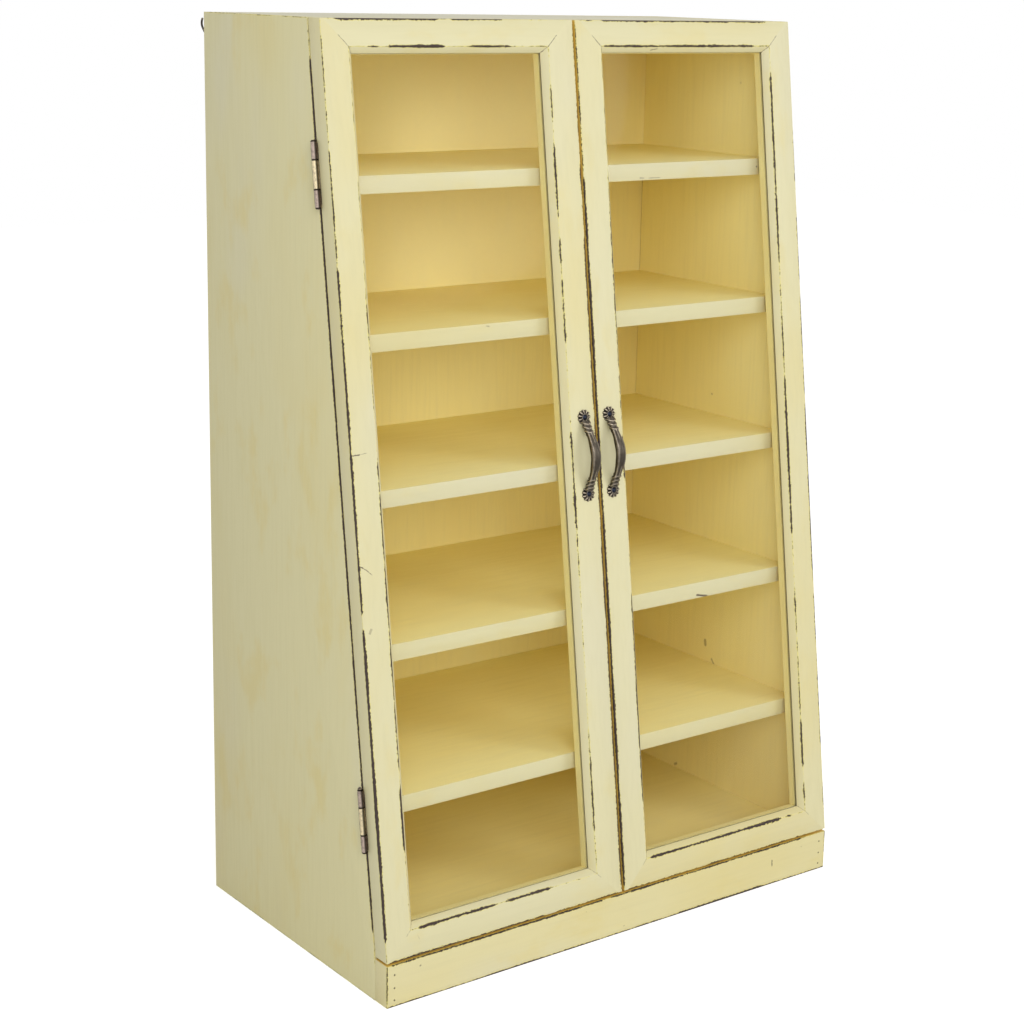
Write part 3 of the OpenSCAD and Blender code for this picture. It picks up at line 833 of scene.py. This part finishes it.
def barrel_highlight_and_shade(recipe):
    """Painted highlight along the outside of a hinge's knuckles, and painted shade at their sides and in the
    gaps between them.
    """
    up = up_front(recipe)
    behind = behind_face(recipe, DOOR_T + SEAM / 2)
    bright = recipe.fade(recipe.absolute(recipe.plus(behind, 0.9 * MM)), 1.2 * MM, 2.2 * MM, 1, 0)
    for height in HINGE_HEIGHTS:
        away = recipe.absolute(recipe.less(up, height))
        for joint in (HINGE_HALF, KNUCKLE_HALF):
            off = recipe.absolute(recipe.less(away, joint))
            bright = recipe.times(bright, recipe.fade(off, 0.4 * MM, 1.2 * MM))
    inside = recipe.beyond(HALF_W - 0.5 * MM, recipe.absolute(recipe.x))
    return recipe.math("MAXIMUM", bright, recipe.times(inside, 0.5))


def glass_pane(name):
    """Thin window glass: clear, with faint reflections at its surface."""
    recipe = Recipe(name)
    recipe.tree.nodes.remove(recipe.shader)
    clear = recipe.add("ShaderNodeBsdfTransparent", {"Color": (0.995, 0.995, 0.99)})
    shine = recipe.add("ShaderNodeBsdfGlossy", {"Roughness": 0.03})
    fresnel = recipe.add("ShaderNodeFresnel", {"IOR": 1.45})
    share = recipe.times(fresnel.outputs[0], 0.03)
    return recipe.surface(
        recipe.add("ShaderNodeMixShader", {0: share, 1: clear.outputs[0], 2: shine.outputs[0]}))


# The pieces of the case


def slope_y(height, depth):
    """Y of the plane at a depth behind the door face, at a height."""
    return FRONT_Y + (height - PLINTH_H) * math.tan(LEAN) + depth / math.cos(LEAN)


def side_board(name, inner_x, outer_x):
    """A side panel cut to its outline, with the rebate for the back panel."""
    behind = DOOR_T + SEAM
    outline = [
        (side_low.y, 0), (BACK_Y, 0), (BACK_Y, CASE_H), (slope_y(CASE_H, behind), CASE_H),
        (slope_y(PLINTH_H, behind), PLINTH_H), (side_low.y, PLINTH_H),
    ]
    board = stick(name, outline, abs(inner_x - outer_x))
    across = min(inner_x, outer_x)
    board.data.transform(Matrix(((0, 0, 1, across), (1, 0, 0, 0), (0, 1, 0, 0), (0, 0, 0, 1))))
    way = 1 if inner_x > outer_x else -1
    back_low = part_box("back_panel")[0]
    first, last = sorted((inner_x - way * BACK_LAP, inner_x + way * MM))
    rebate = block("rebate", (first, BACK_Y - BACK_T, back_low.z), (last, BACK_Y + MM, CASE_H + MM))
    return cut_out(board, rebate)


def nail_heads(name, places, way, radius, rise):
    """Nail heads in a face, facing along way, their tops a little proud or sunk."""
    heads = []
    way = Vector(way).normalized()
    turn = way.to_track_quat("Z", "Y").to_euler()
    for place in places:
        deselect()
        bpy.ops.mesh.primitive_cylinder_add(
            vertices=20, radius=radius, depth=MM, rotation=turn,
            location=Vector(place) + way * (rise - MM / 2))
        head = bpy.context.object
        modify(head, "BEVEL", width=0.25 * MM, segments=2)
        heads.append(settle(head))
    return smooth(join(name, heads))


class CABINET_OT_case(bpy.types.Operator):
    """Models the side panels, the top, the bottom, the back and the plinth"""

    bl_idname = "cabinet.case"
    bl_label = "Case boards"

    def execute(self, context):
        sides = side_finish()
        for side, sign in zip(SIDES, (-1, 1)):
            board = side_board(f"{side}_side_board", sign * (HALF_W - BOARD_T), sign * HALF_W)
            dress(ease(board), sides, "case", "cream_paint", f"{side}_side_panel")

        low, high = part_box("top_panel")
        top = trim(block("top_board", low, high), FOOT + INTO_CASE * (DOOR_T + SEAM), -INTO_CASE)

        def lined(recipe):
            return recipe.fade(recipe.z, high.z - BOARD_T + 0.3 * MM, high.z - BOARD_T + 0.8 * MM, 1, 0)

        top_paint = painted("cream top", 0, lined=lined, tone=(0.70, 0.665, 0.49), shift=1.0)
        dress(ease(top), top_paint, "case", "cream_paint", "top_panel")

        plinth = block("plinth_board", plinth_low, plinth_high)
        spots = [
            (sign * (HALF_W - BOARD_T / 2), FRONT_Y, z) for sign in (-1, 1) for z in PLINTH_NAIL_Z]
        drill = nail_heads("drill", spots, (0, -1, 0), SUNK_NAIL_R + 0.1 * MM, 0.6 * MM)
        ease(plinth)
        cut_out(plinth, drill)
        dress(smooth(plinth), plinth_finish(), "case", "cream_paint", "plinth")
        heads = nail_heads("plinth_nail_heads", spots, (0, -1, 0), SUNK_NAIL_R, -0.2 * MM)
        rusty = metal("old nails", (0.06, 0.05, 0.04), (0.2, 0.17, 0.12), 0.6)
        dress(heads, rusty, "case", "nail_steel", "plinth_nails")

        floor = painted("inside floor", 0, lined=everywhere, shift=4.0)
        bottom = ease(block("bottom_board", *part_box("bottom_panel")))
        dress(bottom, floor, "case", "inside_paint", "bottom_panel")

        lining = painted("inside back", 2, lined=everywhere, shift=6.0)
        back = ease(block("back_board", *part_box("back_panel")), 0.3 * MM)
        dress(back, lining, "case", "inside_paint", "back_panel")
        self.side_nails(sides)
        return {"FINISHED"}

    def side_nails(self, finish):
        """The nails in the side panels, just under the paint."""
        boards = ["bottom_panel", *(f"shelf_{number}" for number in SHELVES), "top_panel"]
        rows = []
        for node in boards:
            low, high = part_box(node)
            front = FRONT_Y + PLINTH_T if node == "bottom_panel" else low.y
            ends = (front + NAIL_SETBACK, BACK_Y - BACK_T - NAIL_SETBACK)
            rows += [(y, (low.z + high.z) / 2) for y in ends]
        spots = [(sign * HALF_W, *row) for sign in (-1, 1) for row in rows]
        heads = [nail_heads("nail", [spot], (spot[0], 0, 0), NAIL_HEAD_R, -0.1 * MM) for spot in spots]
        dress(join("side_nail_heads", heads), finish, "case", "nail_steel", "board_nails")


class CABINET_OT_shelves(bpy.types.Operator):
    """Models the five shelves"""

    bl_idname = "cabinet.shelves"
    bl_label = "Shelves"

    def execute(self, context):
        for number in SHELVES:
            node = f"shelf_{number}"
            low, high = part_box(node)
            board = ease(block(f"shelf_board_{number}", low, high))
            dress(board, shelf_finish(number, low, high), "case", "shelf_paint", node)
        return {"FINISHED"}


# The pieces of the doors


def frame_section():
    """The moulding's outline: x outwards from the glass opening, y back from the face."""
    lip = BEVEL_D + LIP_T
    rim = 60 * MM
    back = [(rim, DOOR_T), (REBATE_W, DOOR_T), (REBATE_W, lip), (0, lip)]
    return [(0, BEVEL_D), (BEVEL_W, 0), (rim, 0), *back]


def mirrored(obj):
    """Turns a left-hand piece into a right-hand one."""
    obj.scale.x = -1
    return close_up(settle(obj))


def frame_stick(name, member):
    """One stick of the left door's frame, cut by its mitres, its outer edge and the level ends."""
    x0, x1, z0, z1 = SIGHT
    reach = 70 * MM
    upright = member in ("hinge_stile", "meeting_stile")
    length = (z1 - z0 if upright else x1 - x0) + 2 * reach
    obj = stick(name, frame_section(), length)
    out = STICKS[member][2]
    if upright:
        x = x0 if out < 0 else x1
        place = Matrix(((out, 0, 0, x), (0, 1, 0, 0), (0, 0, 1, z0 - reach), (0, 0, 0, 1)))
        corners = ((x, z0), (x, z1))
    else:
        z = z0 if out < 0 else z1
        place = Matrix(((0, 0, 1, x0 - reach), (0, 1, 0, 0), (out, 0, 0, z), (0, 0, 0, 1)))
        corners = ((x0, z), (x1, z))
    obj.data.transform(place)
    close_up(obj)
    trim(obj, (-HALF_W, 0, 0), (-1, 0, 0))
    trim(obj, (-MEETING_GAP / 2, 0, 0), (1, 0, 0))
    level = Vector((0, -math.sin(LEAN), math.cos(LEAN)))
    trim(obj, (0, 0, DOOR_FOOT), -level)
    trim(obj, (0, 0, FACE_LEN), level)
    ease(obj)
    for (x, z), end in zip(corners, (-1, 1)):
        normal = (-out, 0, end) if upright else (end, 0, -out)
        trim(obj, (x, 0, z), normal)
    return settle(smooth(obj), LEANING)


class CABINET_OT_door_frames(bpy.types.Operator):
    """Models the mitred stiles and rails of both doors"""

    bl_idname = "cabinet.door_frames"
    bl_label = "Door frames"

    def execute(self, context):
        for side in SIDES:
            for number, member in enumerate(STICKS):
                obj = frame_stick(f"{side}_frame_{member}", member)
                if side == "right":
                    mirrored(obj)
                finish = door_finish(side, member, number + SIDES.index(side) * len(STICKS))
                dress(obj, finish, f"{side}_door", "cream_paint", f"{side}_door_{member}")
        return {"FINISHED"}


class CABINET_OT_glazing(bpy.types.Operator):
    """Finishes the panes and their beads"""

    bl_idname = "cabinet.glazing"
    bl_label = "Glass and beads"

    def execute(self, context):
        pane = glass_pane("window glass")
        bead = painted("bead paint", 2, lined=everywhere, shift=20.0)
        for side in SIDES:
            coat(f"{side}_door_glass", pane)
            coat(f"{side}_door_beads", bead)
        return {"FINISHED"}


# The pulls


def folded(name, along, around, place):
    """A closed surface folded from a grid. For a share along it and a share round it, place gives a point
    and how bright it is there: rubbed on its high places, and on the bow with painted highlights as well."""
    deselect()
    bpy.ops.mesh.primitive_grid_add(x_subdivisions=around, y_subdivisions=along)
    obj = bpy.context.object
    obj.name = name
    rubbed = obj.data.attributes.new("rubbed", "FLOAT", "POINT")
    for index, vertex in enumerate(obj.data.vertices):
        row, column = divmod(index, around + 1)
        vertex.co, rubbed.data[index].value = place(row / along, column % around / around)
    return close_up(obj, fill=True)


def swell(value, low, high):
    """0 below low, 1 above high, smooth between."""
    share = min(max((value - low) / (high - low), 0), 1)
    return share * share * (3 - 2 * share)


def bow_height(t):
    """Height of the bow's middle line, for t from -1 to 1 along it."""
    low = BOW_HALF_T * 0.9
    return low + (PULL_REACH - low) * (0.5 + 0.5 * math.cos(math.pi * min(abs(t), 1))) ** 0.7


def bow_point(share, turn):
    """A point of the bow: its swelling, the ribs along its stem and the leaves at its roots, and its
    brightness, rubbed on the ribs and leaves and with two painted highlights.
    """
    t = 2 * share - 1
    half = BOW_HALF_LEN
    slope = (bow_height(t + 0.01) - bow_height(t - 0.01)) / (0.02 * half)
    tilt = math.atan(slope) * 0.8
    angle = 2 * math.pi * turn
    far = abs(t)
    root = PULL_CENTRES / 2 - far * half
    side, front = abs(math.cos(angle)), math.sin(angle)
    middle, neck, end = BOW_HALF_WIDTHS
    wide = neck + (middle - neck) * (1 - swell(far, 0.12, 0.62))
    wide += (end - neck) * swell(far, 0.62, 0.95)
    deep = BOW_HALF_T + 1.4 * MM * (1 - swell(far, 0.1, 0.6))
    rib = 0.5 + 0.5 * math.cos(BOW_RIBS * angle + 0.8)
    rib *= swell(far, 0.05, 0.45) * swell(root, 12 * MM, 17 * MM)
    leaf = math.sin(math.pi * (root - 2.5 * MM - 3.2 * MM * max(front, 0)) / LEAF_LEN) ** 2
    leaf *= swell(root, 2 * MM, 5 * MM) * (1 - swell(root, 16 * MM, 19 * MM))
    out = 0.55 * MM * rib + 1.3 * MM * leaf * (0.35 + 0.65 * side)
    # Painted highlights: two bright streaks at set angles round the bow, strongest towards its middle
    painted_highlight = swell(math.cos(angle - math.radians(150)), 0.93, 0.99)
    painted_highlight += swell(math.cos(angle - math.radians(55)), 0.95, 1)
    bright = 0.11 + 0.55 * swell(rib, 0.7, 1) + 0.8 * swell(leaf, 0.8, 1)
    bright += 0.4 * painted_highlight * (0.4 + 0.6 * (1 - far))
    across = (wide + out) * math.cos(angle)
    rise = (deep + out) * front
    place = (across, -(bow_height(t) + rise * math.cos(tilt)), t * half - rise * math.sin(tilt))
    return place, min(bright, 1)


# The grid of a rosette goes this much past its face, down its rim
FACE_SHARE = 1.12


def rosette_point(share, turn):
    """A point of a rosette: a dished middle with a rim, and petals round it."""
    angle = 2 * math.pi * turn
    petal = 0.5 + 0.5 * math.cos(PETALS * angle)
    q = min(share * FACE_SHARE, 1)
    radius = ROSETTE_R * (0.88 + 0.12 * petal ** 0.5) * q
    rise = ROSETTE_T - 0.9 * MM * (1 - swell(q, 0.38, 0.46)) - 1.3 * MM * swell(q, 0.72, 1.0)
    rise -= 1.3 * MM * (1 - petal) * swell(q, 0.48, 0.60)
    if share * FACE_SHARE > 1:
        rise *= (1 - share) / (1 - 1 / FACE_SHARE)
    rim = swell(q, 0.38, 0.44) * (1 - swell(q, 0.48, 0.54))
    petal_top = swell(petal, 0.55, 0.95) * swell(q, 0.52, 0.64)
    bright = 0.05 + 0.55 * rim + 0.95 * petal_top * (1 - 0.5 * swell(q, 0.9, 1))
    return (radius * math.cos(angle), -max(rise, 0), radius * math.sin(angle)), min(bright, 1)


class CABINET_OT_pulls(bpy.types.Operator):
    """Sculpts the two cast bow pulls"""

    bl_idname = "cabinet.pulls"
    bl_label = "Door pulls"

    def execute(self, context):
        cast = metal("cast bronze", (0.030, 0.025, 0.020), (0.54, 0.46, 0.35), 0.28, cast_wear_and_highlights)
        steel = metal("blued screws", (0.012, 0.014, 0.02), (0.07, 0.08, 0.12), 0.35)
        for side, sign in zip(SIDES, (-1, 1)):
            parts = [folded("bow", 120, 64, bow_point)]
            for end in (-1, 1):
                rosette = folded("rosette", 32, 132, rosette_point)
                rosette.data.transform(Matrix.Translation((0, 0, end * PULL_CENTRES / 2)))
                parts.append(rosette)
            pull = join(f"{side}_pull_casting", parts)
            settle(smooth(pull, 60), LEANING @ Matrix.Translation((sign * PULL_SIDE, 0, PULL_RISE)))
            dress(pull, cast, f"{side}_door", "cast_metal", f"{side}_door_pull")
            coat(f"{side}_door_pull_screws", steel)
        return {"FINISHED"}


class CABINET_OT_hardware(bpy.types.Operator):
    """Finishes the hinges, their screws, the back panel's pins and the hanging loops"""

    bl_idname = "cabinet.hardware"
    bl_label = "Hardware"

    def execute(self, context):
        # The hinges' metal has a painted highlight down the knuckles and painted shade at their sides and
        # joints
        bronze = metal("dark hinge bronze", (0.020, 0.014, 0.010), (0.56, 0.45, 0.38), 0.42, barrel_highlight_and_shade)
        brass = metal("aged brass", (0.020, 0.014, 0.010), (0.90, 0.77, 0.50), 0.36, barrel_highlight_and_shade)
        steel = metal("dull nails", (0.10, 0.09, 0.08), (0.35, 0.33, 0.30), 0.5)
        wire = metal("loop wire", (0.06, 0.05, 0.045), (0.25, 0.22, 0.18), 0.4)
        for node in frame["nodes"]:
            if "leaf" in node or "hinge_pin" in node:
                coat(node, brass if "door_leaf" in node else bronze)
            elif node == "back_panel_pins":
                coat(node, steel)
            elif "loop" in node:
                coat(node, wire)
        return {"FINISHED"}


# The stage, and the camera as it was solved from the photograph

VIEW_PLACE = Vector((-1.330, -1.7634, 0.9931))
VIEW_TURN = math.radians(37.441)
VIEW_TILT = math.radians(-12.836)
VIEW_ROLL = math.radians(1.282)
PHOTO_SIDE = 1024
FOCAL_PIXELS = 2082.18
CENTRE_PIXEL = (544.77, 455.34)
SENSOR_WIDTH = 36


def add_camera():
    """The camera, where the photograph was taken from."""
    level = Vector((math.cos(VIEW_TURN), -math.sin(VIEW_TURN), 0))
    ahead = Vector((math.sin(VIEW_TURN), math.cos(VIEW_TURN), 0)) * math.cos(VIEW_TILT)
    forward = ahead + Vector((0, 0, math.sin(VIEW_TILT)))
    upright = level.cross(forward)
    right = level * math.cos(VIEW_ROLL) + upright * math.sin(VIEW_ROLL)
    up = upright * math.cos(VIEW_ROLL) - level * math.sin(VIEW_ROLL)
    deselect()
    bpy.ops.object.camera_add()
    camera = bpy.context.object
    camera.name = "photo camera"
    turn = Matrix((right, up, -forward)).transposed().to_4x4()
    camera.matrix_world = Matrix.Translation(VIEW_PLACE) @ turn
    camera.data.sensor_width = SENSOR_WIDTH
    camera.data.lens = FOCAL_PIXELS / PHOTO_SIDE * SENSOR_WIDTH
    camera.data.shift_x = -(CENTRE_PIXEL[0] - PHOTO_SIDE / 2) / PHOTO_SIDE
    camera.data.shift_y = (CENTRE_PIXEL[1] - PHOTO_SIDE / 2) / PHOTO_SIDE
    bpy.context.scene.camera = camera


def add_lamp(name, place, target, size, power):
    deselect()
    bpy.ops.object.light_add(type="AREA", location=place)
    lamp = bpy.context.object
    lamp.name = name
    lamp.data.shape = "DISK"
    lamp.data.size = size
    lamp.data.energy = power
    aim = Vector(target) - Vector(place)
    lamp.rotation_euler = aim.to_track_quat("-Z", "Y").to_euler()


def add_sky():
    """Even light from all round, white where the camera or a reflection sees it."""
    world = bpy.data.worlds.new("white studio")
    bpy.context.scene.world = world
    nodes = Nodes(world)
    path = nodes.add("ShaderNodeLightPath").outputs
    seen = nodes.most([path[key] for key in ("Is Camera Ray", "Is Glossy Ray", "Is Transmission Ray")])
    blend = nodes.add("ShaderNodeMix", {0: seen, 2: sizes().sky, 3: 1})
    background = nodes.tree.nodes["Background"]
    nodes.feed(background, {"Color": (1, 1, 1), "Strength": blend.outputs[0]})


def add_floor():
    """A pale floor that keeps the cabinet's shadow."""
    deselect()
    bpy.ops.mesh.primitive_plane_add(size=12)
    floor = bpy.context.object
    floor.name = "floor"
    recipe = Recipe("white floor")
    recipe.finish({"Base Color": (0.9, 0.9, 0.9), "Roughness": 0.9, "Specular IOR Level": 0})
    path = recipe.add("ShaderNodeLightPath")
    glow = recipe.add("ShaderNodeEmission", {
        "Color": (1, 1, 1), "Strength": recipe.times(path.outputs["Is Camera Ray"], 0.5)})
    floor.data.materials.append(recipe.surface(
        recipe.add("ShaderNodeAddShader", {0: recipe.shader.outputs[0], 1: glow.outputs[0]})))


class CABINET_OT_stage(bpy.types.Operator):
    """Adds the camera, the lamps, the sky and the floor"""

    bl_idname = "cabinet.stage"
    bl_label = "Stage"

    def execute(self, context):
        context.scene.view_settings.view_transform = "Standard"
        context.scene.cycles.diffuse_bounces = 10
        add_camera()
        add_sky()
        add_floor()
        add_lamp("key lamp", (1.7, -2.9, 1.5), (0, 0, 0.5), 1.2, sizes().key)
        add_lamp("fill lamp", (-1.5, -2.9, 2.0), (0, 0, 0.5), 2.4, sizes().fill)
        return {"FINISHED"}


class CABINET_PT_pieces(bpy.types.Panel):
    """Lists the pieces of the cabinet"""

    bl_label = "Display cabinet"
    bl_idname = "CABINET_PT_pieces"
    bl_space_type = "VIEW_3D"
    bl_region_type = "UI"
    bl_category = "Cabinet"

    def draw(self, context):
        column = self.layout.column()
        for group in (context.scene.cabinet_paint, context.scene.cabinet_sizes):
            for key in group.__annotations__:
                column.prop(group, key)
        for operator in PIECES:
            column.operator(operator.bl_idname)


PIECES = (
    CABINET_OT_stage, CABINET_OT_case, CABINET_OT_shelves, CABINET_OT_door_frames, CABINET_OT_glazing,
    CABINET_OT_pulls, CABINET_OT_hardware,
)
CLASSES = (CabinetPaint, CabinetSizes, *PIECES, CABINET_PT_pieces)


def register():
    for cls in CLASSES:
        bpy.utils.register_class(cls)
    bpy.types.Scene.cabinet_paint = bpy.props.PointerProperty(type=CabinetPaint)
    bpy.types.Scene.cabinet_sizes = bpy.props.PointerProperty(type=CabinetSizes)


def unregister():
    del bpy.types.Scene.cabinet_paint
    del bpy.types.Scene.cabinet_sizes
    for cls in reversed(CLASSES):
        bpy.utils.unregister_class(cls)


def main():
    register()
    bpy.ops.cabinet.stage()
    bpy.ops.cabinet.case()
    bpy.ops.cabinet.shelves()
    bpy.ops.cabinet.door_frames()
    bpy.ops.cabinet.glazing()
    bpy.ops.cabinet.pulls()
    bpy.ops.cabinet.hardware()


if __name__ == "__main__":
    main()
